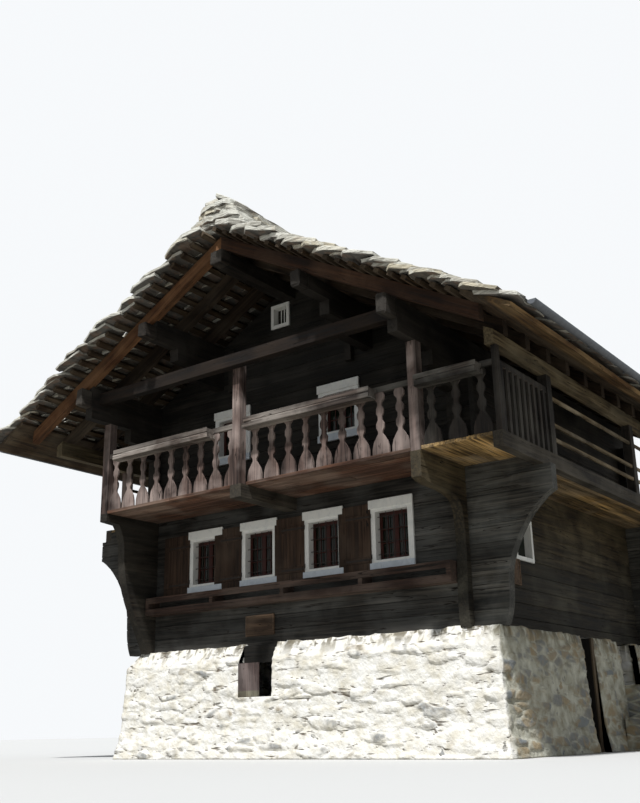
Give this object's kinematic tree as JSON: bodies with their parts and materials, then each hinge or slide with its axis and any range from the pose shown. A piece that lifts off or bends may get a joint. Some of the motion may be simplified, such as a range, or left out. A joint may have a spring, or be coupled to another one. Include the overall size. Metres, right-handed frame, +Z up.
{
  "type": "alpine log chalet",
  "caption": "Gabled log house on a stone plinth, with bracketed balcony, side loggias, shuttered windows and a heavy stone-slab roof.",
  "frame": {"origin": "centre of the bounding box at ground level", "axes": "+Z up, the gabled front with the balcony faces -Y, +X to the right seen from the front"},
  "size_m": [10.52, 9.7, 8.6067],
  "materials": {
    "plinth_stone": "limewashed rubble masonry",
    "roof_stone": "split weathered gneiss",
    "dark_logs": "sun-blackened squared larch",
    "roof_timber": "rough sawn, weathered",
    "grey_timber": "silvered softwood",
    "plank_floor": "rough planks",
    "shelf_timber": "brown stained board",
    "shutter_planks": "brown oiled planks",
    "casing_paint": "white paint on wood",
    "sash_wood": "red brown varnish",
    "window_glass": "old window glass",
    "gutter_metal": "dull zinc grey"
  },
  "bodies": {
    "root": {"plinth_front": "plinth_stone", "plinth_rear": "plinth_stone", "plinth_left": "plinth_stone", "plinth_right": "plinth_stone", "cellar_landing": "plinth_stone", "roof_slabs_left": "roof_stone", "roof_slabs_right": "roof_stone", "ridge_cap": "roof_stone", "front_wall_lower": "dark_logs", "rear_wall_lower": "dark_logs", "left_wall_lower": "dark_logs", "right_wall_lower": "dark_logs", "front_wall_upper": "dark_logs", "rear_wall_upper": "dark_logs", "left_wall_upper": "dark_logs", "right_wall_upper": "dark_logs", "front_gable": "dark_logs", "rear_gable": "dark_logs", "ridge_purlin": "roof_timber", "middle_purlins": "roof_timber", "gable_clamps": "roof_timber", "wall_plates": "roof_timber", "eave_plates": "roof_timber", "tie_beam": "roof_timber", "rafters_left": "roof_timber", "rafters_right": "roof_timber", "roof_battens_left": "roof_timber", "roof_battens_right": "roof_timber", "balcony_posts": "grey_timber", "balcony_handrail": "grey_timber", "balcony_balusters": "grey_timber", "balcony_beams": "grey_timber", "drying_laths": "grey_timber", "slatted_panel": "grey_timber", "flower_boxes": "grey_timber", "cellar_door_post": "grey_timber", "cellar_window_board": "grey_timber", "balcony_deck": "plank_floor", "timber_floors": "plank_floor", "flower_shelf": "shelf_timber", "plaques": "shelf_timber", "shutters": "shutter_planks", "window_casings": "casing_paint", "window_sashes": "sash_wood", "window_panes": "window_glass", "gutters": "gutter_metal"}
  },
  "joints": []
}
